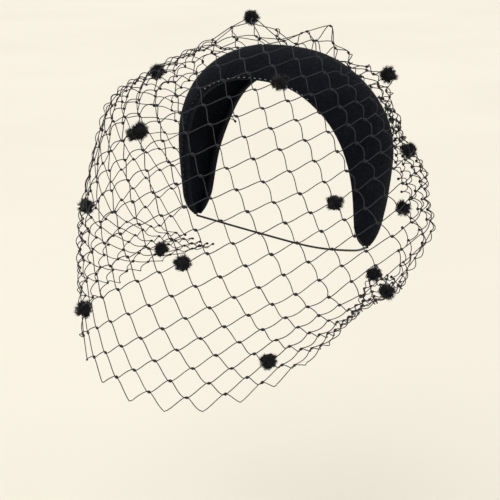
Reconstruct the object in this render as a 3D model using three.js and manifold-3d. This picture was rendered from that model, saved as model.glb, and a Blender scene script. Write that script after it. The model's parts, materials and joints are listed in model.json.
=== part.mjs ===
// Fascinator: a felt halo band with a dotted birdcage veil, in mm.
// +Z is up, the wearer faces -Y and the wearer's left is +X.
// The origin is the top of the head, where the band sits.
import * as THREE from 'three';
import { mergeVertices } from 'three/addons/utils/BufferGeometryUtils.js';
import Module from 'manifold-3d';

const wasm = await Module();
wasm.setup();

const rad = THREE.MathUtils.degToRad;
const clamp = THREE.MathUtils.clamp;

// Head arch that the band sits on
const HEAD_HALF_WIDTH = 77;
const HEAD_DOME = 85;
const DOME_POWER = 2.4;
const LEG_PER_DEGREE = 1.31;

// Felt band
const FELT = 2.6;
const TURN_UNDER = 7;
const TIP_ANGLE = 112;
const TIP_ROUND = 14;
const TIP_LEAST = 0.06;
const TIP_LOW = 0.45;
const WALL_OF_WIDTH = 0.16;
const WALL_OF_HEIGHT = 0.3;
const UNDER_OF_WIDTH = 0.3;
const SIDE_OF_WALL = 1.3;
const TIP_CROWDING = 0.25;
const BAND_STEPS = 32;
const CREST_STEPS = 10;
const HOLLOW_STEPS = 8;
const BAND_SECTIONS = [
  { angle: 0, front: -14, width: 60, height: 23 },
  { angle: 31, front: -14, width: 60, height: 22.5 },
  { angle: 56, front: -9, width: 56, height: 20 },
  { angle: 79, front: -4, width: 43, height: 14 },
  { angle: 112, front: 1, width: 26, height: 8.5 },
];

// Veil, counted in half meshes: around from the midline, down from VEIL_UP at the sewn edge
const VEIL_AROUND = 10;
const VEIL_UP = -7;
const VEIL_DOWN = 7;
const HEM_DROP = 0.5;
const MESH_STEPS = 2;
const STRAND_WIDTH = 1.6;
const STRAND_THICK = 1.5;
const SHARPEST_SINE = 0.35;
const VEIL_TURN = rad(125);
const SEWN_TO = rad(58);
const SEWN_AT = rad(140);
const SEWN_GAP = 1.7;

// Free veil: its midline is a quarter ellipse from the crest to the hem
const FREE_ROW = VEIL_UP + 1;
const HEM_ROW = VEIL_DOWN + HEM_DROP;
const CREST_Y = 20;
const CREST_Z = 37;
const VEIL_REACH = 185;
const VEIL_DROP = 227;
const ROW_EASE = 0.85;

// Its gathered ends, from behind the band's sides to below the tips
const END_Y = 55;
const END_Z = -50;
const END_REACH = 28;
const END_DROP = 90;
const END_ROWS = 9;

// Half its width at the crest and the hem, and how much fuller each cheek is
const CREST_HALF = 83;
const HEM_HALF = 88;
const LEFT_FULLNESS = 36;
const RIGHT_FULLNESS = 26;
const FULL_POWER = 1.5;

// It hangs lower on the left, its middle drifts to the left, and its meshes crowd at crest and hem
const LEFT_DROP = 28;
const RIGHT_RISE = 25;
const TILT_ROW = -4;
const TILT_ROWS = 4;
const DRIFT = 1.1;
const DRIFT_LEAD = 0.05;
const CROWDING = 0.3;
const CROWDING_DIP = 1.25;

// Ruffle over the crest
const RUFFLE_HEIGHT = 8;
const RUFFLE_MESHES = 3;
const RUFFLE_ROW = FREE_ROW;
const RUFFLE_SPREAD = 1.4;
const RUFFLE_LEAN = 0.7;

// Fold that stands out over the right temple: its height, and its place and reach in half meshes
const LOBE = 15;
const LOBE_AT = -6;
const LOBE_ACROSS = 2;
const LOBE_ROW = -1;
const LOBE_ROWS = 2;

// Puff behind the tips, drawn in by folds
const PUFF = 18;
const PUFF_FROM = 0.55;
const PUFF_SPAN = 0.55;
const PUFF_OUT = 0.5;
const PUFF_BACK = 1;
const FOLD_SHARE = 0.4;
const FOLD_ROWS = 3;
const FOLD_ROW = 1;

// Chenille pompoms, one at every third knot both ways
const POMPOM_EVERY = 3;
const POMPOM_FIRST = 1;
const POMPOM_SHIFT = -2;
const TUFT_TIP = 7.3;
const TUFT_ROOT = 5.9;
const TUFT_GAP = 0.4;
const TUFT_SPIN_Y = 0.6;
const TUFT_SPIN_Z = 1.7;
const SAME_POINT = 0.1;
const WELD = 0.01;
const SAME_VERTEX = 1e-4;

// Hat elastic round the nape
const ELASTIC_DIAMETER = 1.8;
const ELASTIC_SIDES = 8;
const ELASTIC_STEPS = 40;
const ELASTIC_TENSION = 0.5;
const ELASTIC_END = { x: 80, y: 14, z: -115.2 };
const ELASTIC_SIDE = { x: 46, y: 46, z: -130 };
const ELASTIC_BACK = { x: 0, y: 58, z: -137 };

// Smooth value of a table's columns at a place between its rows
function between(rows, key, at) {
  const last = rows.length - 1;
  const x = clamp(at, rows[0][key], rows[last][key]);
  let i = 0;
  while (i < last - 1 && x >= rows[i + 1][key]) i += 1;
  const span = rows[i + 1][key] - rows[i][key];
  const t = (x - rows[i][key]) / span;
  const slope = (k, column) => {
    const a = rows[Math.max(k - 1, 0)];
    const b = rows[Math.min(k + 1, last)];
    return (b[column] - a[column]) / (b[key] - a[key]);
  };
  const value = {};
  for (const column of Object.keys(rows[0])) {
    const h00 = 2 * t ** 3 - 3 * t ** 2 + 1;
    const h10 = t ** 3 - 2 * t ** 2 + t;
    const h01 = -2 * t ** 3 + 3 * t ** 2;
    const h11 = t ** 3 - t ** 2;
    value[column] = h00 * rows[i][column] + h10 * span * slope(i, column)
      + h01 * rows[i + 1][column] + h11 * span * slope(i + 1, column);
  }
  return value;
}

// Point of the head arch and its outward normal, in the XZ plane
function arch(angle) {
  const side = Math.sign(angle);
  const turn = Math.abs(angle);
  if (turn > Math.PI / 2) {
    const leg = THREE.MathUtils.radToDeg(turn - Math.PI / 2) * LEG_PER_DEGREE;
    return { x: side * HEAD_HALF_WIDTH, z: -HEAD_DOME - leg, nx: side, nz: 0 };
  }
  const sx = Math.sin(turn) / HEAD_HALF_WIDTH;
  const sz = Math.cos(turn) / HEAD_DOME;
  const reach = (sx ** DOME_POWER + sz ** DOME_POWER) ** (-1 / DOME_POWER);
  const nx = (reach * sx) ** (DOME_POWER - 1) / HEAD_HALF_WIDTH;
  const nz = (reach * sz) ** (DOME_POWER - 1) / HEAD_DOME;
  const size = Math.hypot(nx, nz);
  return {
    x: side * reach * Math.sin(turn),
    z: reach * Math.cos(turn) - HEAD_DOME,
    nx: side * nx / size,
    nz: nz / size,
  };
}

// Place of a band point: across from the front edge, out from the head
function onBand(angle, across, out) {
  const at = arch(angle);
  const front = between(BAND_SECTIONS, 'angle', THREE.MathUtils.radToDeg(Math.abs(angle))).front;
  return new THREE.Vector3(at.x + at.nx * out, front + across, at.z + at.nz * out);
}

// Point on the band's outer face, raised off it by a gap
function bandFace(angle, turn, gap) {
  const size = between(BAND_SECTIONS, 'angle', THREE.MathUtils.radToDeg(Math.abs(angle)));
  const across = size.width / 2 * (1 - Math.cos(turn)) - gap * Math.cos(turn);
  return onBand(angle, across, (size.height + gap) * Math.sin(turn));
}

// Outline of one band section: crest, turned-under edges and the hollow between them
function bandSection(angle) {
  const degrees = Math.abs(THREE.MathUtils.radToDeg(angle));
  const size = between(BAND_SECTIONS, 'angle', degrees);
  const past = Math.max(0, (degrees - TIP_ANGLE + TIP_ROUND) / TIP_ROUND);
  const round = Math.sqrt(Math.max(TIP_LEAST, 1 - past ** 2));
  const width = size.width * round;
  const height = size.height * (TIP_LOW + (1 - TIP_LOW) * round);
  const inset = (size.width - width) / 2;
  const wall = Math.min(FELT, WALL_OF_WIDTH * width, WALL_OF_HEIGHT * height);
  const under = Math.min(TURN_UNDER, UNDER_OF_WIDTH * width);
  const side = SIDE_OF_WALL * wall;
  const points = [];
  for (let i = 0; i <= CREST_STEPS; i += 1) {
    const turn = Math.PI * i / CREST_STEPS;
    points.push(new THREE.Vector2(inset + width / 2 * (1 - Math.cos(turn)), height * Math.sin(turn)));
  }
  points.push(new THREE.Vector2(inset + width - under, 0));
  points.push(new THREE.Vector2(inset + width - under, wall));
  for (let i = HOLLOW_STEPS; i >= 0; i -= 1) {
    const turn = Math.PI * i / HOLLOW_STEPS;
    const across = width / 2 - (width / 2 - side) * Math.cos(turn);
    points.push(new THREE.Vector2(inset + across, wall + (height - 2 * wall) * Math.sin(turn)));
  }
  points.push(new THREE.Vector2(inset + under, wall));
  points.push(new THREE.Vector2(inset + under, 0));
  return points;
}

function geometryOf(positions, index) {
  const geometry = new THREE.BufferGeometry();
  geometry.setAttribute('position', new THREE.Float32BufferAttribute(positions, 3));
  geometry.setIndex(index);
  let volume = 0;
  const a = new THREE.Vector3();
  const b = new THREE.Vector3();
  const c = new THREE.Vector3();
  const at = geometry.getAttribute('position');
  for (let i = 0; i < index.length; i += 3) {
    a.fromBufferAttribute(at, index[i]);
    b.fromBufferAttribute(at, index[i + 1]);
    c.fromBufferAttribute(at, index[i + 2]);
    volume += a.dot(b.cross(c));
  }
  if (volume < 0) {
    for (let i = 0; i < index.length; i += 3) {
      [index[i], index[i + 1]] = [index[i + 1], index[i]];
    }
    geometry.setIndex(index);
  }
  return geometry;
}

function feltBand() {
  const positions = [];
  const index = [];
  const sections = [];
  for (let j = 0; j <= BAND_STEPS; j += 1) {
    const share = 2 * j / BAND_STEPS - 1;
    const angle = rad(TIP_ANGLE) * share * (1 + TIP_CROWDING * (1 - share ** 2));
    const outline = bandSection(angle);
    sections.push(outline);
    for (const p of outline) positions.push(...onBand(angle, p.x, p.y).toArray());
  }
  const count = sections[0].length;
  for (let j = 0; j < BAND_STEPS; j += 1) {
    for (let i = 0; i < count; i += 1) {
      const a = j * count + i;
      const b = j * count + (i + 1) % count;
      index.push(a, b, b + count, a, b + count, a + count);
    }
  }
  for (const [j, flip] of [[0, true], [BAND_STEPS, false]]) {
    for (const face of THREE.ShapeUtils.triangulateShape(sections[j], [])) {
      const [a, b, c] = face.map((k) => j * count + k);
      if (THREE.ShapeUtils.isClockWise(sections[j]) === flip) index.push(a, b, c);
      else index.push(a, c, b);
    }
  }
  return geometryOf(positions, index);
}

// Point of the draped veil
function veil(around, down) {
  const hung = clamp((down - FREE_ROW) / (HEM_ROW - FREE_ROW), 0, 1);
  const fall = (Math.PI / 2) * hung ** ROW_EASE;
  const midY = CREST_Y - VEIL_REACH * Math.sin(fall);
  const midZ = CREST_Z - VEIL_DROP * (1 - Math.cos(fall));
  const low = clamp((down - FREE_ROW) / END_ROWS, 0, 1) ** 2;
  const endY = END_Y - END_REACH * low;
  const endZ = END_Z - END_DROP * low;
  const full = Math.sin(Math.PI * hung) ** FULL_POWER;
  const drift = DRIFT * Math.sin(Math.PI * Math.sqrt((hung + DRIFT_LEAD) / (1 + DRIFT_LEAD)));
  const share = (around + drift) / VEIL_AROUND;
  const side = Math.sign(share);
  const far = Math.abs(share);
  const pulled = far * (1 + CROWDING * (1 - CROWDING_DIP * full) * (1 - far));
  const turn = pulled * VEIL_TURN;
  const back = (1 - Math.cos(turn)) / (1 - Math.cos(VEIL_TURN));
  const fullness = side < 0 ? RIGHT_FULLNESS : LEFT_FULLNESS;
  const half = CREST_HALF + (HEM_HALF - CREST_HALF) * hung + fullness * full;
  const tilt = (side < 0 ? RIGHT_RISE : LEFT_DROP) * clamp((down - TILT_ROW) / TILT_ROWS, 0, 1);
  const drop = side * tilt * Math.sin(turn) * (1 - back);
  const fold = 1 - FOLD_SHARE * Math.sin(Math.PI * (down - FOLD_ROW) / FOLD_ROWS) ** 2;
  const swell = Math.sin(Math.PI * clamp((far - PUFF_FROM) / PUFF_SPAN, 0, 1)) ** 2;
  const bulge = PUFF * full ** 2 * fold * swell;
  const fade = Math.cos(turn / 2) ** 2;
  const wave = RUFFLE_HEIGHT * fade * Math.cos(2 * Math.PI * (around - POMPOM_SHIFT) / RUFFLE_MESHES);
  const ruffle = wave * Math.exp(-(((down - RUFFLE_ROW) / RUFFLE_SPREAD) ** 2));
  const beside = (share * VEIL_AROUND - LOBE_AT) / LOBE_ACROSS;
  const below = (down - LOBE_ROW) / LOBE_ROWS;
  const lift = ruffle + LOBE * Math.exp(-(beside ** 2) - below ** 2);
  const free = new THREE.Vector3(
    side * (half * Math.sin(turn) + PUFF_OUT * bulge + lift * Math.sin(RUFFLE_LEAN * turn)),
    midY + (endY - midY) * back + PUFF_BACK * bulge,
    midZ + (endZ - midZ) * back - drop + lift * Math.cos(RUFFLE_LEAN * turn),
  );
  const sewn = bandFace(side * SEWN_TO * pulled, SEWN_AT, SEWN_GAP);
  return sewn.lerp(free, clamp(down - VEIL_UP, 0, 1));
}

function veilAt(around, down) {
  return veil(around, down + (down > VEIL_DOWN - 1 ? HEM_DROP * (down - VEIL_DOWN + 1) : 0));
}

function veilNormal(around, down) {
  const step = 0.05;
  const a = veilAt(around + step, down).sub(veilAt(around - step, down));
  const b = veilAt(around, down + step).sub(veilAt(around, down - step));
  return b.cross(a).normalize();
}

// The net is a lattice: every mesh is a frame round its gap, and frames share their corners
function veilNet() {
  const positions = [];
  const index = [];
  const shared = new Map();
  const uses = new Map();
  const add = (p) => positions.push(...p.toArray()) / 3 - 1;
  const pair = (p, normal) => {
    const half = normal.clone().multiplyScalar(STRAND_THICK / 2);
    return [add(p.clone().add(half)), add(p.clone().sub(half))];
  };
  const knot = (around, down) => {
    const key = `${around.toFixed(3)},${down.toFixed(3)}`;
    if (!shared.has(key)) {
      const normal = veilNormal(around, down);
      const point = veilAt(around, down);
      shared.set(key, { key, point, normal, faces: pair(point, normal) });
    }
    return shared.get(key);
  };
  const quad = (a, b, c, d) => index.push(a, b, c, a, c, d);
  const loops = [];
  for (let down = VEIL_UP + 1; down < VEIL_DOWN; down += 1) {
    for (let around = 1 - VEIL_AROUND; around < VEIL_AROUND; around += 1) {
      if (Math.abs(around - down) % 2 === 1) {
        const corners = [[0, -1], [1, 0], [0, 1], [-1, 0]];
        const loop = [];
        corners.forEach(([x, y], k) => {
          const [nextX, nextY] = corners[(k + 1) % 4];
          for (let i = 0; i < MESH_STEPS; i += 1) {
            const t = i / MESH_STEPS;
            loop.push(knot(around + x + (nextX - x) * t, down + y + (nextY - y) * t));
          }
        });
        loops.push({ loop, middle: veilAt(around, down) });
        loop.forEach((k, i) => {
          const edge = [k.key, loop[(i + 1) % loop.length].key].sort().join(' ');
          uses.set(edge, (uses.get(edge) ?? 0) + 1);
        });
      }
    }
  }
  for (const { loop, middle } of loops) {
    const count = loop.length;
    const rim = loop.map((k, i) => {
      const edge = [k.key, loop[(i + 1) % count].key].sort().join(' ');
      return uses.get(edge) === 1;
    });
    const gap = loop.map((k, i) => {
      const before = loop[(i + count - 1) % count].point;
      const after = loop[(i + 1) % count].point;
      const widthBefore = rim[(i + count - 1) % count] ? STRAND_WIDTH : STRAND_WIDTH / 2;
      const widthAfter = rim[i] ? STRAND_WIDTH : STRAND_WIDTH / 2;
      const inner = k.point.clone();
      if (i % MESH_STEPS === 0) {
        const a = before.clone().sub(k.point).normalize();
        const b = after.clone().sub(k.point).normalize();
        const sine = Math.max(SHARPEST_SINE, a.clone().cross(b).length());
        inner.addScaledVector(b, widthBefore / sine).addScaledVector(a, widthAfter / sine);
      } else {
        const along = after.clone().sub(before).normalize();
        const inward = middle.clone().sub(k.point);
        inward.addScaledVector(along, -inward.dot(along)).normalize();
        inner.addScaledVector(inward, widthAfter);
      }
      return pair(inner, k.normal);
    });
    for (let i = 0; i < count; i += 1) {
      const j = (i + 1) % count;
      const [outA, inA] = loop[i].faces;
      const [outB, inB] = loop[j].faces;
      quad(outA, outB, gap[j][0], gap[i][0]);
      quad(inB, inA, gap[i][1], gap[j][1]);
      quad(gap[i][0], gap[j][0], gap[j][1], gap[i][1]);
      if (rim[i]) quad(outB, outA, inA, inB);
    }
  }
  return geometryOf(positions, index);
}

function welded(geometry) {
  geometry.deleteAttribute('normal');
  geometry.deleteAttribute('uv');
  return mergeVertices(geometry, SAME_VERTEX);
}

function solid(geometry) {
  return new wasm.Manifold(new wasm.Mesh({
    numProp: 3,
    vertProperties: Float32Array.from(geometry.attributes.position.array),
    triVerts: Uint32Array.from(geometry.index.array),
  }));
}

function geometryFrom(manifold) {
  const mesh = manifold.getMesh();
  const geometry = new THREE.BufferGeometry();
  geometry.setAttribute('position', new THREE.BufferAttribute(mesh.vertProperties, 3));
  geometry.setIndex(new THREE.BufferAttribute(mesh.triVerts, 1));
  return geometry;
}

// A pompom is a ball of twelve tufts on the knot where two strands cross
function tuftedBall(around, down, spin, gap) {
  const centre = veilAt(around, down);
  const ball = welded(new THREE.IcosahedronGeometry(TUFT_ROOT, 1));
  const tips = new THREE.IcosahedronGeometry(TUFT_ROOT, 0).getAttribute('position');
  const points = ball.getAttribute('position');
  const p = new THREE.Vector3();
  const tip = new THREE.Vector3();
  for (let i = 0; i < points.count; i += 1) {
    p.fromBufferAttribute(points, i);
    let isTip = false;
    for (let k = 0; k < tips.count; k += 1) {
      isTip = isTip || tip.fromBufferAttribute(tips, k).distanceTo(p) < SAME_POINT;
    }
    p.setLength((isTip ? TUFT_TIP : TUFT_ROOT) + gap);
    p.applyEuler(new THREE.Euler(spin, TUFT_SPIN_Y * spin, TUFT_SPIN_Z * spin)).add(centre);
    points.setXYZ(i, p.x, p.y, p.z);
  }
  return ball;
}

function pompomPlaces() {
  const places = [];
  const step = POMPOM_EVERY;
  const most = VEIL_AROUND + VEIL_DOWN;
  for (let i = POMPOM_FIRST - step * most; i <= most; i += step) {
    for (let j = POMPOM_FIRST - step * most; j <= most; j += step) {
      const around = i + j - POMPOM_SHIFT;
      const down = j - i;
      if (Math.abs(around) <= VEIL_AROUND && down >= VEIL_UP && down <= VEIL_DOWN) {
        places.push({ around, down });
      }
    }
  }
  return places;
}

function elastic() {
  const { x: endX, y: endY, z: endZ } = ELASTIC_END;
  const { x: sideX, y: sideY, z: sideZ } = ELASTIC_SIDE;
  const path = new THREE.CatmullRomCurve3([
    new THREE.Vector3(endX, endY, endZ),
    new THREE.Vector3(sideX, sideY, sideZ),
    new THREE.Vector3(ELASTIC_BACK.x, ELASTIC_BACK.y, ELASTIC_BACK.z),
    new THREE.Vector3(-sideX, sideY, sideZ),
    new THREE.Vector3(-endX, endY, endZ),
  ], false, 'catmullrom', ELASTIC_TENSION);
  const ring = new THREE.Shape();
  for (let i = 0; i < ELASTIC_SIDES; i += 1) {
    const turn = 2 * Math.PI * i / ELASTIC_SIDES;
    const x = ELASTIC_DIAMETER / 2 * Math.cos(turn);
    const y = ELASTIC_DIAMETER / 2 * Math.sin(turn);
    if (i === 0) ring.moveTo(x, y);
    else ring.lineTo(x, y);
  }
  ring.closePath();
  const tube = new THREE.ExtrudeGeometry(ring, { steps: ELASTIC_STEPS, extrudePath: path });
  return welded(tube);
}

const feltBlack = new THREE.MeshStandardMaterial({ color: 0x16191f, roughness: 0.96, metalness: 0 });
feltBlack.name = 'black_felt';
const netBlack = new THREE.MeshStandardMaterial({ color: 0x1b1a1e, roughness: 0.6, metalness: 0 });
netBlack.name = 'black_net';
const tuftBlack = new THREE.MeshStandardMaterial({ color: 0x121215, roughness: 0.98, metalness: 0 });
tuftBlack.name = 'black_chenille';
const cordBlack = new THREE.MeshStandardMaterial({ color: 0x18181a, roughness: 0.75, metalness: 0 });
cordBlack.name = 'black_elastic';

function piece(name, geometry, material) {
  geometry.computeVertexNormals();
  const mesh = new THREE.Mesh(geometry, material);
  mesh.name = name;
  return mesh;
}

const fascinator = new THREE.Group();
fascinator.name = 'fascinator';
fascinator.add(piece('felt_band', feltBand(), feltBlack));
const places = pompomPlaces();
let net = solid(veilNet());
places.forEach(({ around, down }, i) => {
  net = net.subtract(solid(tuftedBall(around, down, i, TUFT_GAP)));
});
fascinator.add(piece('veil_net', geometryFrom(net.asOriginal().simplify(WELD)), netBlack));
places.forEach(({ around, down }, i) => {
  const name = `pompom_${String(i + 1).padStart(2, '0')}`;
  fascinator.add(piece(name, tuftedBall(around, down, i, 0), tuftBlack));
});
fascinator.add(piece('elastic', elastic(), cordBlack));

export default fascinator;
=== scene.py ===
"""Looks of the fascinator: felt halo band, dotted birdcage veil and nape elastic."""
import json
import math

import bmesh
import bpy
import numpy as np
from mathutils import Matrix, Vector, noise

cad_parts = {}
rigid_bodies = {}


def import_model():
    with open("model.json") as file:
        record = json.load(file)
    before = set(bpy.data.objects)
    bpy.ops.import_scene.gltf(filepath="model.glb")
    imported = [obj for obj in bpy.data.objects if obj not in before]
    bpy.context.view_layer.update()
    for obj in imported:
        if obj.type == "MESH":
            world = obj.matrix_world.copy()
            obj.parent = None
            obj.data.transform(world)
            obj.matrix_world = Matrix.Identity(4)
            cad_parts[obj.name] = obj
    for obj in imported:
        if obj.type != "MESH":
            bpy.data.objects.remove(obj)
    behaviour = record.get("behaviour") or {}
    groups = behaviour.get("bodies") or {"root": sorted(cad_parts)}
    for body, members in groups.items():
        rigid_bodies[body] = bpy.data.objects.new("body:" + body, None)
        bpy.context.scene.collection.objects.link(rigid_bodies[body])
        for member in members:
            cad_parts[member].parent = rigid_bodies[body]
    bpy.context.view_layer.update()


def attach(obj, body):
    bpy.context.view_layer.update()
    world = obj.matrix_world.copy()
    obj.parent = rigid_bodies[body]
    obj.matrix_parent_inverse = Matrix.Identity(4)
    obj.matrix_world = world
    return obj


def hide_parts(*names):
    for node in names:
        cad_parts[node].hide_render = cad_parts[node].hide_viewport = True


for left_over in list(bpy.data.objects):
    bpy.data.objects.remove(left_over)
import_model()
MM_PER_METRE = 1000
MM = 1 / MM_PER_METRE
TINY = 1e-9

# Photograph: camera angles, distance, pixel size and the pixel of the frame's origin
AZIMUTH = math.radians(38)
ELEVATION = math.radians(15)
DISTANCE = 950
MM_PER_PIXEL = 0.72
ORIGIN_PIXEL = (267, 79)
IMAGE_SIDE = 500
SENSOR_WIDTH = 36
NEAREST_METRES = 0.01
FARTHEST_METRES = 60

# Head arch and felt band, in mm
HEAD_HALF_WIDTH = 77
HEAD_DOME = 85
DOME_POWER = 2.4
LEG_PER_DEGREE = 1.31
FELT = 2.6
TURN_UNDER = 7
TIP_ANGLE = 112
TIP_ROUND = 14
TIP_LEAST = 0.06
TIP_LOW = 0.45
WALL_OF_WIDTH = 0.16
WALL_OF_HEIGHT = 0.3
UNDER_OF_WIDTH = 0.3
SIDE_OF_WALL = 1.3
TIP_CROWDING = 0.25
BAND_STEPS = 132
CREST_STEPS = 40
HOLLOW_STEPS = 30
LIP_STEPS = 6
EDGE_STEPS = 3
SOFTENINGS = 3
ANGLE, FRONT, WIDTH, HEIGHT = range(4)
BAND_SECTIONS = np.array([
    (0, -14, 60, 23),
    (31, -14, 60, 22.5),
    (56, -9, 56, 20),
    (79, -4, 43, 14),
    (112, 1, 26, 8.5),
], float)
# Unevenness of its felt: broad swells and finer ripples
SWELL_HEIGHT = 0.28
SWELL_SIZE = 21
RIPPLE_HEIGHT = 0.1
RIPPLE_SIZE = 6
RIPPLE_SHIFT = Vector((9, 3, 5))
# Hairs of its nap: middle and tip stand out and lean over by shares of a hair's length
NAP_SEED = 11
NAP_HAIRS = 9000
NAP_LENGTHS = (0.5, 1.25)
NAP_RADII = (0.025, 0.05)
NAP_ROOT = 0.1
NAP_MIDDLE_OUT = 0.35
NAP_MIDDLE_OVER = 0.35
NAP_TIP_OUT = 0.45
NAP_TIP_OVER = 0.85

# Veil, in half meshes of the solid's net, which are whole meshes of the real one
VEIL_AROUND = 10
VEIL_UP = -7
VEIL_DOWN = 7.5
VEIL_TURN = math.radians(125)
SEWN_TO = math.radians(58)
SEWN_AT = math.radians(140)
SEWN_GAP = 1.7
# Free veil: its midline is a quarter ellipse from the crest to the hem
FREE_ROW = VEIL_UP + 1
HEM_ROW = VEIL_DOWN
CREST_Y = 20
CREST_Z = 37
VEIL_REACH = 185
VEIL_DROP = 227
ROW_EASE = 0.85
# Its gathered ends, from behind the band's sides to below the tips
END_Y = 55
END_Z = -50
END_REACH = 28
END_DROP = 90
END_ROWS = 9
# Half its width at the crest and the hem, and how much fuller each cheek is
CREST_HALF = 83
HEM_HALF = 88
LEFT_FULLNESS = 36
RIGHT_FULLNESS = 26
FULL_POWER = 1.5
# It hangs lower on the left, its middle drifts to the left, and its meshes crowd at crest and hem
LEFT_DROP = 28
RIGHT_RISE = 25
TILT_ROW = -4
TILT_ROWS = 4
DRIFT = 1.1
DRIFT_LEAD = 0.05
CROWDING = 0.3
CROWDING_DIP = 1.25
# Ruffle over the crest
RUFFLE_HEIGHT = 8
RUFFLE_MESHES = 3
RUFFLE_ROW = FREE_ROW
RUFFLE_SPREAD = 1.4
RUFFLE_LEAN = 0.7
# Fold that stands out over the right temple: its height, and its place and reach in half meshes
LOBE = 15
LOBE_AT = -6
LOBE_ACROSS = 2
LOBE_ROW = -1
LOBE_ROWS = 2
# Puff behind the tips, drawn in by folds
PUFF = 18
PUFF_FROM = 0.55
PUFF_SPAN = 0.55
PUFF_OUT = 0.5
PUFF_BACK = 1
FOLD_SHARE = 0.4
FOLD_ROWS = 3
FOLD_ROW = 1

# Strands of the net: each bends softly from knot to knot, and bows out where its side is gathered
MESH_SIDE = 17.8
STRAND = 0.66
STRAND_SIDES = 6
STRAND_STEPS = 7
STRAND_BED = 0.3
STRAND_SWAY = 0.22
BEND_LENGTH = 1.03
SHORTEST_SIDE = 2.0
BOW_MOST = 3.4
BOW_SHARE = 0.3
BOW_LEAN = 0.8
BOW_LEAN_SIZE = 45
BOW_LEAN_APART = 7
HEM_BEND = 0.8
SURFACE_STEP = 0.04
# Its knots, with wraps of yarn that run round them aslant
KNOT_SEED = 23
KNOT_LENGTH = 2.5
KNOT_WIDTH = 2.1
KNOT_LENGTHS = (0.95, 1.2)
KNOT_WIDTHS = (0.9, 1.12)
KNOT_TILT = 0.12
KNOT_TAPER = 0.94
KNOT_THICK = 0.82
KNOT_RINGS = 7
KNOT_SIDES = 8
WRAP_HEIGHT = 0.13
WRAP_SLANT = 7.5

# Pompoms, one at every third knot of the solid's net both ways
POMPOM_EVERY = 3
POMPOM_FIRST = 1
POMPOM_SHIFT = -2
# Their tufts, in lumps of uneven reach
TUFTS = 34
TUFT_REACH = 7.0
TUFT_REACHES = (0.76, 1.1)
TUFT_MOST = 8.2
TUFT_SCATTER = 0.2
LUMP_GRAIN = 1.4
LUMP_SHARE = 0.2
# The hairs of a tuft
TUFT_HAIRS = 36
HAIR_REACHES = (0.82, 1.05)
HAIR_RADII = (0.1, 0.17)
HAIR_ROOT = 1.2
HAIR_BEND = 0.5
ROOT_SCATTER = 0.26
TIP_SCATTER = 0.16
# The dense core
TUFT_CORE = 4.4
CORE_RINGS = 9
CORE_SIDES = 14
CORE_GRAIN = 3.1
CORE_ROUGH = 0.9

# Random first angle of a knot's wraps or a pompom's tufts, in radians
START_TURN_MOST = 6
# Hairs of felt and pompoms: sides, thickness half way, and the slope past which x is their guide, not z
HAIR_SIDES = 3
HAIR_MIDDLE = 0.8
HAIR_STEEP = 0.8

# Elastic
ELASTIC_DIAMETER = 1.6
ELASTIC_STEPS = 44
ELASTIC_SIDES = 12
ELASTIC_RIB = 0.05
ELASTIC_ROUTE = np.array([
    (80, 14, -115.2),
    (46, 46, -130),
    (0, 58, -137),
    (-46, 46, -130),
    (-80, 14, -115.2),
], float)

# Stitches along the band's front edge
THREAD = 0.4
THREAD_SIDES = 6
STITCH_SEED = 5
STITCH_EVERY = 4.8
STITCH_LENGTH = 1.3
STITCH_LENGTHS = (0.85, 1.1)
STITCH_STEPS = 7
STITCH_RISE = 0.3
STITCH_SINK = 0.6
STITCH_SKEW = 0.012
STITCH_TURN = math.radians(5)
STITCHED_TO = 106
# Stitches within this angle of the top are grey, a painted glint of light on the thread; the rest stay
# black
PAINTED_GLINT_TO = math.radians(32)
EDGE_SAMPLES = 900
# Whip stitches over the veil's sewn knots, two to a knot
SEWING_SEED = 7
SEWING_STEPS = 9
SEWING_APART = 1.1
SEWING_HALF = 1.5
SEWING_RISE = 1.25
SEWING_SINK = 2.2
SEWING_SKEW = 0.25

# Stage
FLOOR = -330
FLOOR_RINGS = (400, 1200, 4000, 14000)
FLOOR_SIDES = 64
LIGHT_COLOUR = (1, 0.985, 0.955)
WORLD_STRENGTH = 0.58
MOTTLE_FROM = 0.3
MOTTLE_TO = 0.7


# Curves and the veil's surface
def unit(way):
    return way / np.maximum(np.linalg.norm(way, axis=-1, keepdims=True), TINY)


def cubic(share, start, leave, end, arrive):
    """Points on a curve given by its ends and its slopes there."""
    return ((2 * share**3 - 3 * share**2 + 1) * start + (share**3 - 2 * share**2 + share) * leave
            + (3 * share**2 - 2 * share**3) * end + (share**3 - share**2) * arrive)


def between(rows, degrees):
    """Smooth values of a table's columns at angles between its rows."""
    keys = rows[:, ANGLE]
    last = len(rows) - 1
    degrees = np.clip(np.asarray(degrees, float), keys[0], keys[-1])
    slopes = np.empty_like(rows)
    for k in range(last + 1):
        before, after = max(k - 1, 0), min(k + 1, last)
        slopes[k] = (rows[after] - rows[before]) / (keys[after] - keys[before])
    i = np.clip(np.searchsorted(keys, degrees, side="right") - 1, 0, last - 1)
    span = (keys[i + 1] - keys[i])[:, None]
    share = (degrees - keys[i])[:, None] / span
    return cubic(share, rows[i], span * slopes[i], rows[i + 1], span * slopes[i + 1])


def arch(angle):
    """Head arch at angles from the top: x, z and the outward normal."""
    side, turn = np.sign(angle), np.abs(angle)
    dome = np.minimum(turn, math.pi / 2)
    sx = np.sin(dome) / HEAD_HALF_WIDTH
    sz = np.maximum(np.cos(dome), 0) / HEAD_DOME
    reach = (sx**DOME_POWER + sz**DOME_POWER) ** (-1 / DOME_POWER)
    nx = (reach * sx) ** (DOME_POWER - 1) / HEAD_HALF_WIDTH
    nz = (reach * sz) ** (DOME_POWER - 1) / HEAD_DOME
    size = np.hypot(nx, nz)
    leg = np.degrees(turn - dome) * LEG_PER_DEGREE
    return side * reach * np.sin(dome), reach * np.cos(dome) - HEAD_DOME - leg, side * nx / size, nz / size


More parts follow.
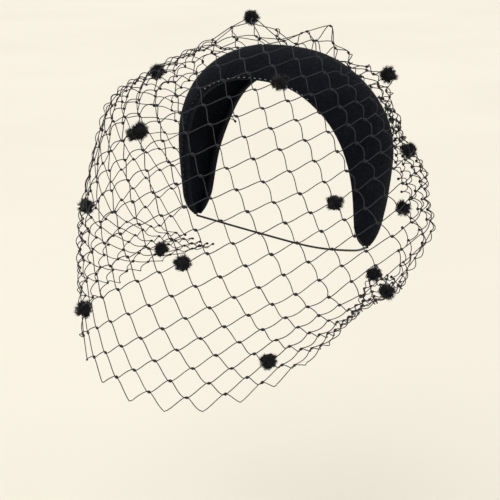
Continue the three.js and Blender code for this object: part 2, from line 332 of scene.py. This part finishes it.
def on_band(angle, across, out):
    """Points across the band from its front edge and out from the head arch."""
    x, z, nx, nz = arch(angle)
    front = between(BAND_SECTIONS, np.degrees(np.abs(angle)))[:, FRONT]
    return np.stack([x + nx * out, front + across, z + nz * out], axis=1)


def band_face(angle, turn, gap):
    """Points on the band's outer face, raised off it by a gap."""
    angle = np.atleast_1d(np.asarray(angle, float))
    size = between(BAND_SECTIONS, np.degrees(np.abs(angle)))
    across = size[:, WIDTH] / 2 * (1 - np.cos(turn)) - gap * np.cos(turn)
    return on_band(angle, across, (size[:, HEIGHT] + gap) * np.sin(turn))


def veil(around, down):
    """Points of the draped veil."""
    around, down = np.broadcast_arrays(np.asarray(around, float), np.asarray(down, float))
    hung = np.clip((down - FREE_ROW) / (HEM_ROW - FREE_ROW), 0, 1)
    fall = math.pi / 2 * hung**ROW_EASE
    mid_y = CREST_Y - VEIL_REACH * np.sin(fall)
    mid_z = CREST_Z - VEIL_DROP * (1 - np.cos(fall))
    low = np.clip((down - FREE_ROW) / END_ROWS, 0, 1) ** 2
    end_y = END_Y - END_REACH * low
    end_z = END_Z - END_DROP * low
    full = np.sin(math.pi * hung) ** FULL_POWER
    drift = DRIFT * np.sin(math.pi * np.sqrt((hung + DRIFT_LEAD) / (1 + DRIFT_LEAD)))
    share = (around + drift) / VEIL_AROUND
    side, far = np.sign(share), np.abs(share)
    pulled = far * (1 + CROWDING * (1 - CROWDING_DIP * full) * (1 - far))
    turn = pulled * VEIL_TURN
    back = (1 - np.cos(turn)) / (1 - math.cos(VEIL_TURN))
    fullness = np.where(side < 0, RIGHT_FULLNESS, LEFT_FULLNESS)
    half = CREST_HALF + (HEM_HALF - CREST_HALF) * hung + fullness * full
    tilt = np.where(side < 0, RIGHT_RISE, LEFT_DROP) * np.clip((down - TILT_ROW) / TILT_ROWS, 0, 1)
    drop = side * tilt * np.sin(turn) * (1 - back)
    fold = 1 - FOLD_SHARE * np.sin(math.pi * (down - FOLD_ROW) / FOLD_ROWS) ** 2
    swell = np.sin(math.pi * np.clip((far - PUFF_FROM) / PUFF_SPAN, 0, 1)) ** 2
    bulge = PUFF * full**2 * fold * swell
    fade = np.cos(turn / 2) ** 2
    wave = RUFFLE_HEIGHT * fade * np.cos(2 * math.pi * (around - POMPOM_SHIFT) / RUFFLE_MESHES)
    ruffle = wave * np.exp(-(((down - RUFFLE_ROW) / RUFFLE_SPREAD) ** 2))
    beside = (share * VEIL_AROUND - LOBE_AT) / LOBE_ACROSS
    below = (down - LOBE_ROW) / LOBE_ROWS
    lift = ruffle + LOBE * np.exp(-(beside**2) - below**2)
    free = np.stack([
        side * (half * np.sin(turn) + PUFF_OUT * bulge + lift * np.sin(RUFFLE_LEAN * turn)),
        mid_y + (end_y - mid_y) * back + PUFF_BACK * bulge,
        mid_z + (end_z - mid_z) * back - drop + lift * np.cos(RUFFLE_LEAN * turn),
    ], axis=1)
    sewn = band_face(side * SEWN_TO * pulled, SEWN_AT, SEWN_GAP)
    share_free = np.clip(down - VEIL_UP, 0, 1)[:, None]
    return sewn * (1 - share_free) + free * share_free


# Meshes
def turns(sides):
    """Angles at even steps round a circle."""
    return 2 * math.pi * np.arange(sides) / sides


def circles(side, other, sides):
    """Rings of directions round each axis, from two directions square to it."""
    turn = turns(sides)
    return side[:, None] * np.cos(turn)[None, :, None] + other[:, None] * np.sin(turn)[None, :, None]


def ring_quads(rings, sides, flip=False):
    """Quads between neighbouring rings of points."""
    i, k = np.meshgrid(np.arange(rings - 1), np.arange(sides), indexing="ij")
    here, there = i * sides, (i + 1) * sides
    following = (k + 1) % sides
    corners = [here + k, here + following, there + following, there + k]
    if flip:
        corners = [corners[n] for n in (0, 3, 2, 1)]
    return np.stack(corners, axis=-1).reshape(-1, 4)


def end_fans(rings, sides, flip=False):
    """Triangles from the first and last rings to the two points that follow all the rings."""
    k = np.arange(sides)
    following = (k + 1) % sides
    if flip:
        k, following = following, k
    end = (rings - 1) * sides
    first = np.full(sides, rings * sides)
    return np.r_[np.stack([following, k, first], 1), np.stack([end + k, end + following, first + 1], 1)]


class Shape:
    """Vertices in mm and faces of one piece."""

    def __init__(self):
        self.points, self.quads, self.tris, self.count = [], [], [], 0

    def add(self, points, quads=(), tris=()):
        if len(quads):
            self.quads.append(np.asarray(quads, int) + self.count)
        if len(tris):
            self.tris.append(np.asarray(tris, int) + self.count)
        self.points.append(np.asarray(points, float))
        self.count += len(points)

    def add_rings(self, rings, ends, flip=False):
        """A skin over rings of points, closed by a point at each end."""
        count, sides = rings.shape[:2]
        points = np.r_[rings.reshape(-1, 3), ends]
        self.add(points, ring_quads(count, sides, flip), end_fans(count, sides, flip))

    def build(self, name, material):
        points = np.concatenate(self.points) * MM
        quads = np.concatenate(self.quads) if self.quads else np.zeros((0, 4), int)
        tris = np.concatenate(self.tris) if self.tris else np.zeros((0, 3), int)
        sizes = np.r_[np.full(len(quads), 4), np.full(len(tris), 3)]
        corners = np.r_[quads.ravel(), tris.ravel()]
        mesh = bpy.data.meshes.new(name)
        mesh.vertices.add(len(points))
        mesh.vertices.foreach_set("co", points.astype(np.float32).ravel())
        mesh.loops.add(len(corners))
        mesh.loops.foreach_set("vertex_index", corners.astype(np.int32))
        mesh.polygons.add(len(sizes))
        mesh.polygons.foreach_set("loop_start", (np.cumsum(sizes) - sizes).astype(np.int32))
        mesh.update(calc_edges=True)
        mesh.validate()
        mesh.shade_smooth()
        mesh.materials.append(material)
        piece = bpy.data.objects.new(name, mesh)
        bpy.context.scene.collection.objects.link(piece)
        return piece


def tube(shape, line, radius, sides):
    """Closed tube along a line, with frames carried along it."""
    line = np.asarray(line, float)
    along = unit(np.gradient(line, axis=0))
    start = np.eye(3)[np.argmin(np.abs(along[0]))]
    side = np.empty_like(line)
    side[0] = unit(start - along[0] * (start @ along[0]))
    for i in range(1, len(line)):
        carried = side[i - 1] - along[i] * (side[i - 1] @ along[i])
        side[i] = carried / max(np.linalg.norm(carried), TINY)
    radius = np.broadcast_to(np.asarray(radius, float), (len(line),))
    rings = line[:, None] + radius[:, None, None] * circles(side, np.cross(along, side), sides)
    shape.add_rings(rings, line[[0, -1]])


def fibres(shape, root, middle, tip, radius):
    """Tapered hairs from roots over middles to tips."""
    along = unit(tip - root)
    guide = np.where(np.abs(along[:, 2:]) < HAIR_STEEP, [[0.0, 0.0, 1.0]], [[1.0, 0.0, 0.0]])
    side = unit(np.cross(along, guide))
    ring = circles(side, np.cross(along, side), HAIR_SIDES)
    low = root[:, None] + ring * radius[:, None, None]
    mid = middle[:, None] + ring * (HAIR_MIDDLE * radius)[:, None, None]
    points = np.concatenate([low, mid, tip[:, None]], axis=1)
    base = points.shape[1] * np.arange(len(root))[:, None, None]
    k = np.arange(HAIR_SIDES)
    following = (k + 1) % HAIR_SIDES
    quads = np.stack([k, following, following + HAIR_SIDES, k + HAIR_SIDES], axis=1)
    point = np.full(HAIR_SIDES, 2 * HAIR_SIDES)
    tris = np.r_[np.stack([k + HAIR_SIDES, following + HAIR_SIDES, point], axis=1), k[None, ::-1]]
    shape.add(points.reshape(-1, 3), (base + quads).reshape(-1, 4), (base + tris).reshape(-1, 3))


# Materials
def nodes_of(name):
    material = bpy.data.materials.new(name)
    material.use_nodes = True
    tree = material.node_tree
    shader = tree.nodes["Principled BSDF"]
    place = tree.nodes.new("ShaderNodeTexCoord").outputs["Object"]
    return material, tree, shader, place


def noise_node(tree, place, scale, detail, rough=0.6, distortion=0.0):
    node = tree.nodes.new("ShaderNodeTexNoise")
    node.inputs["Scale"].default_value = scale
    node.inputs["Detail"].default_value = detail
    node.inputs["Roughness"].default_value = rough
    node.inputs["Distortion"].default_value = distortion
    tree.links.new(place, node.inputs["Vector"])
    return node.outputs["Fac"]


def ramp(tree, value, stops):
    node = tree.nodes.new("ShaderNodeValToRGB")
    node.color_ramp.elements.remove(node.color_ramp.elements[1])
    for i, (at, colour) in enumerate(stops):
        stop = node.color_ramp.elements[0] if i == 0 else node.color_ramp.elements.new(at)
        stop.position = at
        stop.color = (*colour, 1)
    tree.links.new(value, node.inputs["Fac"])
    return node.outputs["Color"]


def mottle(tree, value, dark, light):
    return ramp(tree, value, [(MOTTLE_FROM, dark), (MOTTLE_TO, light)])


def grey(level):
    return (level, level, level)


def spread(tree, value, low, high):
    node = tree.nodes.new("ShaderNodeMapRange")
    node.inputs["To Min"].default_value = low
    node.inputs["To Max"].default_value = high
    tree.links.new(value, node.inputs["Value"])
    return node.outputs["Result"]


def bump(tree, shader, height, strength, depth):
    node = tree.nodes.new("ShaderNodeBump")
    node.inputs["Strength"].default_value = strength
    node.inputs["Distance"].default_value = depth
    tree.links.new(height, node.inputs["Height"])
    tree.links.new(node.outputs["Normal"], shader.inputs["Normal"])


def felt_material():
    """Matt black wool with a faint sheen, flecked by its nap."""
    material, tree, shader, place = nodes_of("felt_black")
    broad = noise_node(tree, place, scale=60, detail=4)
    nap = noise_node(tree, place, scale=640, detail=8, rough=0.75, distortion=0.8)
    colour = mottle(tree, broad, dark=(0.0038, 0.0047, 0.0074), light=(0.0062, 0.0075, 0.0114))
    fleck = ramp(tree, nap, [(0.38, (0.5, 0.51, 0.53)), (0.54, grey(1)), (0.7, (2.3, 2.3, 2.4))])
    mix = tree.nodes.new("ShaderNodeMix")
    mix.data_type = "RGBA"
    mix.blend_type = "MULTIPLY"
    mix.inputs["Factor"].default_value = 1
    tree.links.new(colour, mix.inputs["A"])
    tree.links.new(fleck, mix.inputs["B"])
    tree.links.new(mix.outputs["Result"], shader.inputs["Base Color"])
    tree.links.new(spread(tree, nap, low=0.86, high=1.0), shader.inputs["Roughness"])
    shader.inputs["Specular IOR Level"].default_value = 0.06
    sheen = ramp(tree, nap, [(0.38, grey(0.008)), (0.52, grey(0.034)), (0.68, grey(0.1))])
    tree.links.new(sheen, shader.inputs["Sheen Weight"])
    shader.inputs["Sheen Roughness"].default_value = 0.5
    shader.inputs["Sheen Tint"].default_value = (0.75, 0.83, 1.0, 1)
    bump(tree, shader, nap, strength=0.55, depth=0.0004)
    return material


def yarn_material(name, dark, light, rough, specular, sheen, grain):
    """Mottled yarn, roughened by its twist."""
    material, tree, shader, place = nodes_of(name)
    broad = noise_node(tree, place, scale=130, detail=3)
    twist = noise_node(tree, place, scale=grain, detail=5, rough=0.65, distortion=0.4)
    tree.links.new(mottle(tree, broad, dark, light), shader.inputs["Base Color"])
    tree.links.new(spread(tree, twist, low=rough - 0.1, high=rough + 0.12), shader.inputs["Roughness"])
    shader.inputs["Specular IOR Level"].default_value = specular
    shader.inputs["Sheen Weight"].default_value = sheen
    shader.inputs["Sheen Roughness"].default_value = 0.45
    bump(tree, shader, twist, strength=0.5, depth=0.0002)
    return material


FELT_BLACK = felt_material()
NET_BLACK = yarn_material(
    "net_black", dark=(0.0068, 0.0068, 0.0118), light=(0.0126, 0.0124, 0.0202),
    rough=0.5, specular=0.3, sheen=0.03, grain=2600,
)
CHENILLE = yarn_material(
    "chenille_black", dark=(0.0055, 0.0055, 0.0068), light=(0.0165, 0.016, 0.019),
    rough=0.9, specular=0.12, sheen=0.12, grain=1800,
)
ELASTIC_BLACK = yarn_material(
    "elastic_black", dark=(0.006, 0.006, 0.007), light=(0.012, 0.012, 0.013),
    rough=0.6, specular=0.35, sheen=0.08, grain=3200,
)
# Grey thread is a painted glint: the black stitches over the forehead are coloured as if catching the
# light
THREAD_PAINTED_GLINT = yarn_material(
    "thread_painted_glint", dark=(0.24, 0.24, 0.25), light=(0.48, 0.48, 0.49),
    rough=0.4, specular=0.5, sheen=0.0, grain=3800,
)
THREAD_BLACK = yarn_material(
    "thread_black", dark=(0.008, 0.008, 0.009), light=(0.016, 0.016, 0.018),
    rough=0.45, specular=0.5, sheen=0.0, grain=3800,
)


# Felt band
def straight(start, end, steps):
    """Points from one corner to the next, without the first."""
    share = np.arange(1, steps + 1)[:, None] / steps
    return (1 - share) * start + share * end


def band_outline(angle):
    """Section of the band: crest, turned-under edges and the hollow, with soft corners."""
    degrees = abs(math.degrees(angle))
    _, _, full, height = between(BAND_SECTIONS, [degrees])[0]
    past = max(0.0, (degrees - TIP_ANGLE + TIP_ROUND) / TIP_ROUND)
    closing = math.sqrt(max(TIP_LEAST, 1 - past**2))
    width = full * closing
    height = height * (TIP_LOW + (1 - TIP_LOW) * closing)
    inset = (full - width) / 2
    wall = min(FELT, WALL_OF_WIDTH * width, WALL_OF_HEIGHT * height)
    under = min(TURN_UNDER, UNDER_OF_WIDTH * width)
    side = SIDE_OF_WALL * wall
    crest = math.pi * np.arange(CREST_STEPS + 1) / CREST_STEPS
    hollow = math.pi * np.arange(HOLLOW_STEPS - 1, 0, -1) / HOLLOW_STEPS
    far_under = width - under
    line = np.concatenate([
        np.stack([width / 2 * (1 - np.cos(crest)), height * np.sin(crest)], 1),
        straight([width, 0], [far_under, 0], LIP_STEPS),
        straight([far_under, 0], [far_under, wall], EDGE_STEPS),
        straight([far_under, wall], [width - side, wall], LIP_STEPS),
        np.stack([width / 2 - (width / 2 - side) * np.cos(hollow),
                  wall + (height - 2 * wall) * np.sin(hollow)], 1),
        straight([side, wall], [under, wall], LIP_STEPS),
        straight([under, wall], [under, 0], EDGE_STEPS),
        straight([under, 0], [0, 0], LIP_STEPS)[:-1],
    ])
    for _ in range(SOFTENINGS):
        line = (np.roll(line, 1, 0) + 2 * line + np.roll(line, -1, 0)) / 4
    return line + [inset, 0]


def felt_band():
    """The blocked felt from tip to tip, with a slightly uneven face."""
    shape = Shape()
    share = 2 * np.arange(BAND_STEPS + 1) / BAND_STEPS - 1
    angles = math.radians(TIP_ANGLE) * share * (1 + TIP_CROWDING - TIP_CROWDING * share**2)
    rings = []
    for angle in angles:
        line = band_outline(angle)
        rings.append(on_band(np.full(len(line), angle), line[:, 0], line[:, 1]))
    rings = np.array(rings)
    count = rings.shape[1]
    shape.add(rings.reshape(-1, 3), ring_quads(len(rings), count, flip=True))
    piece = shape.build("felt_band_cloth", FELT_BLACK)
    mesh = piece.data
    work = bmesh.new()
    work.from_mesh(mesh)
    work.verts.ensure_lookup_table()
    # Each tip is closed by one face across its section, which is then cut into triangles
    for ring, flip in ((0, False), (BAND_STEPS, True)):
        loop = [work.verts[ring * count + k] for k in range(count)]
        work.faces.new(loop[::-1] if flip else loop)
    bmesh.ops.triangulate(work, faces=[face for face in work.faces if len(face.verts) > 4])
    bmesh.ops.recalc_face_normals(work, faces=work.faces[:])
    work.normal_update()
    for corner in work.verts:
        point = corner.co * MM_PER_METRE
        swell = SWELL_HEIGHT * noise.noise(point / SWELL_SIZE)
        ripple = RIPPLE_HEIGHT * noise.noise(point / RIPPLE_SIZE + RIPPLE_SHIFT)
        corner.co += corner.normal * (swell + ripple) * MM
    work.to_mesh(mesh)
    work.free()
    mesh.shade_smooth()
    return piece


def felt_nap(band):
    """Short loose hairs of the wool standing off the felt."""
    rng = np.random.default_rng(NAP_SEED)
    mesh = band.data
    mesh.calc_loop_triangles()
    points = np.empty(len(mesh.vertices) * 3)
    mesh.vertices.foreach_get("co", points)
    points = points.reshape(-1, 3) / MM
    tris = np.empty(len(mesh.loop_triangles) * 3, int)
    mesh.loop_triangles.foreach_get("vertices", tris)
    first, second, third = points[tris.reshape(-1, 3)].transpose(1, 0, 2)
    cross = np.cross(second - first, third - first)
    area = np.linalg.norm(cross, axis=1)
    pick = rng.choice(len(area), NAP_HAIRS, p=area / area.sum())
    to_second, to_third = rng.random(NAP_HAIRS), rng.random(NAP_HAIRS)
    over = to_second + to_third > 1
    to_second = np.where(over, 1 - to_second, to_second)[:, None]
    to_third = np.where(over, 1 - to_third, to_third)[:, None]
    root = first[pick] + to_second * (second - first)[pick] + to_third * (third - first)[pick]
    out = unit(cross[pick])
    lean = unit(np.cross(out, rng.normal(size=(NAP_HAIRS, 3))))
    length = rng.uniform(*NAP_LENGTHS, NAP_HAIRS)[:, None]
    middle = root + length * (NAP_MIDDLE_OUT * out + NAP_MIDDLE_OVER * lean)
    tip = root + length * (NAP_TIP_OUT * out + NAP_TIP_OVER * lean)
    shape = Shape()
    fibres(shape, root - NAP_ROOT * out, middle, tip, rng.uniform(*NAP_RADII, NAP_HAIRS))
    return shape.build("felt_nap", FELT_BLACK)


# Veil
def veil_frame(columns, rows):
    """Knots of the real net, with the directions round and out of the veil."""
    around, down = np.asarray(columns, float) / 2, np.asarray(rows, float) / 2
    place = veil(around, down)
    lower = np.minimum(down + SURFACE_STEP, VEIL_DOWN)
    right = unit(veil(around + SURFACE_STEP, down) - veil(around - SURFACE_STEP, down))
    fall = unit(veil(around, lower) - veil(around, lower - 2 * SURFACE_STEP))
    out = unit(np.cross(fall, right))
    return place, right, out


def veil_net():
    """Strands that run aslant both ways from knot to knot, and the knots."""
    rng = np.random.default_rng(KNOT_SEED)
    most = 2 * VEIL_AROUND
    top, bottom = 2 * VEIL_UP, int(2 * VEIL_DOWN)
    keys = []
    for row in range(top, bottom + 1):
        keys += [(column, row) for column in range(-most, most + 1) if (column - row) % 2 == 0]
    index = {key: i for i, key in enumerate(keys)}
    place, right, out = veil_frame([key[0] for key in keys], [key[1] for key in keys])
    half = np.array([HEM_BEND if row == bottom else KNOT_LENGTH / 2 for _, row in keys])
    shape = Shape()
    for slope in (-1, 1):
        for column, row in keys:
            if (column - 1, row - slope) in index:
                continue
            run = []
            while (column, row) in index:
                run.append(index[column, row])
                column, row = column + 1, row + slope
            if len(run) > 1:
                tube(shape, strand_line(run, place, right, out, half, slope), STRAND / 2, STRAND_SIDES)
    for (_, row), i in index.items():
        if row < bottom:
            knot(shape, place[i], right[i], out[i], rng)
    return shape.build("veil_mesh", NET_BLACK)


def strand_line(run, place, right, out, half, slope):
    """A strand along each knot and in a soft bend to the next, bowed out where the net is gathered."""
    bed = STRAND_BED * slope
    line = []
    for n, k in enumerate(run):
        here = place[k] + bed * np.cross(right[k], out[k])
        if n > 0:
            line.append(here - half[k] * right[k])
        line.append(here)
        if n + 1 == len(run):
            break
        line.append(here + half[k] * right[k])
        following = run[n + 1]
        start = line[-1]
        low = np.cross(right[following], out[following])
        end = place[following] + bed * low - half[following] * right[following]
        chord = end - start
        size = np.linalg.norm(chord)
        way = chord / max(size, TINY)
        leave = unit(way + STRAND_SWAY * right[k]) * size * BEND_LENGTH
        arrive = unit(way + STRAND_SWAY * right[following]) * size * BEND_LENGTH
        free_side = MESH_SIDE - half[k] - half[following]
        slack = max(0.0, free_side / max(size, SHORTEST_SIDE) - BEND_LENGTH)
        bow = min(BOW_MOST, BOW_SHARE * size, 2 * size / math.pi * math.sqrt(slack))
        normal = unit(out[k] + out[following])
        spot = Vector((place[k] + place[following]) / 2 / BOW_LEAN_SIZE)
        skew = BOW_LEAN * noise.noise(spot + Vector((0, 0, BOW_LEAN_APART * slope)))
        lean = unit(normal + np.cross(way, normal) * skew)
        for step in range(1, STRAND_STEPS):
            share = step / STRAND_STEPS
            point = cubic(share, start, leave, end, arrive)
            line.append(point + lean * bow * math.sin(math.pi * share))
    return np.array(line)


def knot(shape, place, right, out, rng):
    """Oblong knot with wraps of yarn across it."""
    low = np.cross(right, out)
    length = KNOT_LENGTH * rng.uniform(*KNOT_LENGTHS)
    width = KNOT_WIDTH * rng.uniform(*KNOT_WIDTHS)
    tilt = rng.normal(0, KNOT_TILT)
    axis = unit(right * math.cos(tilt) + low * math.sin(tilt))
    across = np.cross(axis, out)
    share = np.linspace(-1, 1, KNOT_RINGS + 2)[1:-1]
    body = np.sqrt(1 - KNOT_TAPER * share**2)
    turn = turns(KNOT_SIDES)
    start = rng.uniform(0, START_TURN_MOST)
    wrap = 1 + WRAP_HEIGHT * np.cos(turn[None, :] - WRAP_SLANT * share[:, None] + start)
    ring = (across[None, None] * np.cos(turn)[None, :, None] * width / 2
            + out[None, None] * np.sin(turn)[None, :, None] * KNOT_THICK * width / 2)
    middles = place + axis * (share * length / 2)[:, None, None]
    ends = np.array([place - axis * length / 2, place + axis * length / 2])
    shape.add_rings(middles + ring * (body[:, None] * wrap)[:, :, None], ends)


# Pompoms
def pompom_places():
    """Knots of the solid's net that carry a pompom."""
    places = []
    most = int(VEIL_AROUND + VEIL_DOWN)
    steps = range(POMPOM_FIRST - POMPOM_EVERY * most, most + 1, POMPOM_EVERY)
    for i in steps:
        for j in steps:
            around, down = i + j - POMPOM_SHIFT, j - i
            if abs(around) <= VEIL_AROUND and VEIL_UP <= down <= VEIL_DOWN:
                places.append((around, down))
    return places


def pompom_hairs(shape, centre, seed):
    """Fine hairs in tufts that are spread over the ball by the golden angle, then scattered."""
    rng = np.random.default_rng(seed)
    n = np.arange(TUFTS) + 0.5
    lift = 1 - 2 * n / TUFTS
    spin = n * math.pi * (1 + 5**0.5) + rng.uniform(0, START_TURN_MOST)
    flat = np.sqrt(1 - lift**2)
    even = np.stack([flat * np.cos(spin), flat * np.sin(spin), lift], 1)
    tufts = unit(even + rng.normal(0, TUFT_SCATTER, (TUFTS, 3)))
    shift = Vector((seed, 0, 3 * seed))
    lump = np.array([noise.noise(Vector(tuft) * LUMP_GRAIN + shift) for tuft in tufts])
    reach = TUFT_REACH * (rng.uniform(*TUFT_REACHES, TUFTS) + LUMP_SHARE * lump)
    way = np.repeat(tufts, TUFT_HAIRS, 0)
    count = len(way)
    root_way = unit(way + rng.normal(0, ROOT_SCATTER, (count, 3)))
    tip_way = unit(way + rng.normal(0, TIP_SCATTER, (count, 3)))
    far = np.repeat(reach, TUFT_HAIRS) * rng.uniform(*HAIR_REACHES, count)
    root = centre + root_way * (TUFT_CORE - HAIR_ROOT)
    tip = centre + tip_way * np.minimum(far, TUFT_MOST)[:, None]
    middle = (root + tip) / 2 + rng.normal(0, HAIR_BEND, (count, 3))
    fibres(shape, root, middle, tip, rng.uniform(*HAIR_RADII, count))


def pompom_core(shape, centre, seed):
    """Dense ball with a rough face, from pole to pole."""
    polar = math.pi * np.arange(1, CORE_RINGS + 1) / (CORE_RINGS + 1)
    turn = turns(CORE_SIDES)
    ball = np.stack([
        np.sin(polar)[:, None] * np.cos(turn),
        np.sin(polar)[:, None] * np.sin(turn),
        np.repeat(np.cos(polar)[:, None], CORE_SIDES, 1),
    ], -1).reshape(-1, 3)
    ball = np.r_[ball, [[0, 0, 1], [0, 0, -1]]]
    shift = Vector((seed, 2 * seed, 0))
    rough = np.array([noise.noise(Vector(point) * CORE_GRAIN + shift) for point in ball])
    points = centre + ball * (TUFT_CORE + CORE_ROUGH * rough)[:, None]
    shape.add_rings(points[:-2].reshape(CORE_RINGS, CORE_SIDES, 3), points[-2:], flip=True)


def pompom(name, centre, seed):
    """Ragged ball of chenille."""
    shape = Shape()
    pompom_hairs(shape, centre, seed)
    pompom_core(shape, centre, seed)
    return shape.build(name, CHENILLE)


# Elastic and stitches
def elastic_line():
    """The route from tip to tip round the nape."""
    first, last = ELASTIC_ROUTE[0], ELASTIC_ROUTE[-1]
    points = np.r_[[2 * first - ELASTIC_ROUTE[1]], ELASTIC_ROUTE, [2 * last - ELASTIC_ROUTE[-2]]]
    line = []
    for k in range(1, len(points) - 2):
        leave, arrive = (points[k + 1] - points[k - 1]) / 2, (points[k + 2] - points[k]) / 2
        for share in np.arange(ELASTIC_STEPS) / ELASTIC_STEPS:
            line.append(cubic(share, points[k], leave, points[k + 1], arrive))
    return np.array(line + [last])


def elastic():
    """Round cord, ribbed by its cover."""
    line = elastic_line()
    radius = ELASTIC_DIAMETER / 2 * (1 + ELASTIC_RIB * np.cos(math.pi * np.arange(len(line))))
    shape = Shape()
    tube(shape, line, radius, ELASTIC_SIDES)
    return shape.build("elastic_cord", ELASTIC_BLACK), line


def along_edge(turn, every, most):
    """Angles at even steps along the band at one turn of its crest, and the length of that line."""
    angles = np.radians(np.linspace(-most, most, EDGE_SAMPLES))
    line = band_face(angles, turn, 0)
    run = np.r_[0, np.cumsum(np.linalg.norm(np.diff(line, axis=0), axis=1))]
    return np.interp(np.arange(every / 2, run[-1], every), run, angles), run[-1]


def edge_stitches():
    """Running stitches along the band's front edge, grey as a painted glint over the forehead and black
    thread down the sides.
    """
    angles, run = along_edge(STITCH_TURN, STITCH_EVERY, STITCHED_TO)
    rng = np.random.default_rng(STITCH_SEED)
    painted_glint, dull = Shape(), Shape()
    per_mm = math.radians(2 * STITCHED_TO) / run
    shares = np.linspace(-1, 1, STITCH_STEPS)
    for angle in angles:
        half = STITCH_LENGTH * rng.uniform(*STITCH_LENGTHS) / 2 * per_mm
        skew = rng.normal(0, STITCH_SKEW)
        line = []
        for share in shares:
            rise = STITCH_RISE - STITCH_SINK * share**4
            line.append(band_face(angle + share * half, STITCH_TURN + share * skew, rise)[0])
        # Grey painted glint near the top, black thread further down the sides
        tube(painted_glint if abs(angle) < PAINTED_GLINT_TO else dull, line, THREAD / 2, THREAD_SIDES)
    return painted_glint.build("edge_stitches", THREAD_PAINTED_GLINT), dull.build("edge_stitches_side", THREAD_BLACK)


def sewing_stitches():
    """Whip stitches that hold the veil's knots to the back of the band."""
    rng = np.random.default_rng(SEWING_SEED)
    shape = Shape()
    share = np.linspace(-1, 1, SEWING_STEPS)
    rise = SEWING_RISE * (1 - share**2) - SEWING_SINK * share**4
    for column in range(-2 * VEIL_AROUND, 2 * VEIL_AROUND + 1, 2):
        knot_at, right, out = (found[0] for found in veil_frame([column], [2 * VEIL_UP]))
        low = np.cross(right, out)
        for shift in (-SEWING_APART, SEWING_APART):
            skew = rng.normal(0, SEWING_SKEW)
            line = (knot_at + right * shift + np.outer(SEWING_HALF * share, low)
                    + np.outer(share * skew, right) + np.outer(rise, out))
            tube(shape, line, THREAD / 2, THREAD_SIDES)
    return shape.build("sewing_stitches", THREAD_BLACK)


band = felt_band()
nap = felt_nap(band)
net = veil_net()
pompoms = []
for number, (around, down) in enumerate(pompom_places(), 1):
    pompoms.append(pompom(f"pompom_tufts_{number:02d}", veil([around], [down])[0], number))
cord, cord_line = elastic()
edging, side_edging = edge_stitches()
sewing = sewing_stitches()

for piece in [band, nap, net, cord, edging, side_edging, sewing, *pompoms]:
    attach(piece, "root")
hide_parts("felt_band")
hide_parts("veil_net")
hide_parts("elastic")
for number, piece in enumerate(pompoms, 1):
    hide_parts(f"pompom_{number:02d}")

# Stage: pale floor, soft light and the photograph's camera
RIGHT = Vector((math.cos(AZIMUTH), math.sin(AZIMUTH), 0))
UP = Vector((
    -math.sin(AZIMUTH) * math.sin(ELEVATION),
    math.cos(AZIMUTH) * math.sin(ELEVATION),
    math.cos(ELEVATION),
))
BACK = Vector((
    math.sin(AZIMUTH) * math.cos(ELEVATION),
    -math.cos(AZIMUTH) * math.cos(ELEVATION),
    math.sin(ELEVATION),
))
PIXELS_RIGHT = IMAGE_SIDE / 2 - ORIGIN_PIXEL[0]
PIXELS_UP = ORIGIN_PIXEL[1] - IMAGE_SIDE / 2
AIM = (RIGHT * PIXELS_RIGHT + UP * PIXELS_UP) * MM_PER_PIXEL * MM


def floor_material():
    material, tree, shader, place = nodes_of("floor_cream")
    broad = noise_node(tree, place, scale=1.4, detail=3)
    fine = noise_node(tree, place, scale=90, detail=5)
    colour = mottle(tree, broad, dark=(0.86, 0.815, 0.72), light=(0.90, 0.855, 0.755))
    tree.links.new(colour, shader.inputs["Base Color"])
    tree.links.new(spread(tree, fine, low=0.75, high=0.9), shader.inputs["Roughness"])
    bump(tree, shader, fine, strength=0.05, depth=0.0005)
    return material


def floor():
    """Round floor of rings about a middle point."""
    turn = turns(FLOOR_SIDES)
    rings = len(FLOOR_RINGS)
    points = np.stack([
        np.outer(FLOOR_RINGS, np.cos(turn)),
        np.outer(FLOOR_RINGS, np.sin(turn)),
        np.full((rings, FLOOR_SIDES), FLOOR),
    ], -1).reshape(-1, 3)
    k = np.arange(FLOOR_SIDES)
    middle = np.stack([k, (k + 1) % FLOOR_SIDES, np.full(FLOOR_SIDES, len(points))], 1)
    shape = Shape()
    shape.add(np.r_[points, [[0, 0, FLOOR]]], ring_quads(rings, FLOOR_SIDES, flip=True), middle)
    return shape.build("floor", floor_material())


def soft_light(name, way, power, spread_degrees):
    """Even light from one side of the studio."""
    light = bpy.data.lights.new(name, "SUN")
    light.energy = power
    light.angle = math.radians(spread_degrees)
    light.color = LIGHT_COLOUR
    lamp = bpy.data.objects.new(name, light)
    lamp.location = AIM + way
    lamp.rotation_mode = "QUATERNION"
    lamp.rotation_quaternion = (-way).to_track_quat("-Z", "Y")
    bpy.context.scene.collection.objects.link(lamp)


floor()
soft_light("key", way=-RIGHT * 0.5 + UP * 1.0 + BACK * 0.5, power=1.5, spread_degrees=60)
soft_light("fill", way=RIGHT * 1.0 + UP * 0.6 + BACK * 0.7, power=0.5, spread_degrees=90)

world = bpy.data.worlds.new("studio")
world.use_nodes = True
background = world.node_tree.nodes["Background"]
background.inputs["Color"].default_value = (*LIGHT_COLOUR, 1)
background.inputs["Strength"].default_value = WORLD_STRENGTH
bpy.context.scene.world = world
bpy.context.scene.view_settings.view_transform = "Standard"

camera = bpy.data.cameras.new("camera")
camera.sensor_width = SENSOR_WIDTH
camera.lens = SENSOR_WIDTH * DISTANCE / (IMAGE_SIDE * MM_PER_PIXEL)
camera.clip_start = NEAREST_METRES
camera.clip_end = FARTHEST_METRES
eye = bpy.data.objects.new("camera", camera)
eye.location = AIM + BACK * DISTANCE * MM
eye.rotation_mode = "QUATERNION"
eye.rotation_quaternion = (-BACK).to_track_quat("-Z", "Y")
bpy.context.scene.collection.objects.link(eye)
bpy.context.scene.camera = eye

bpy.context.view_layer.update()
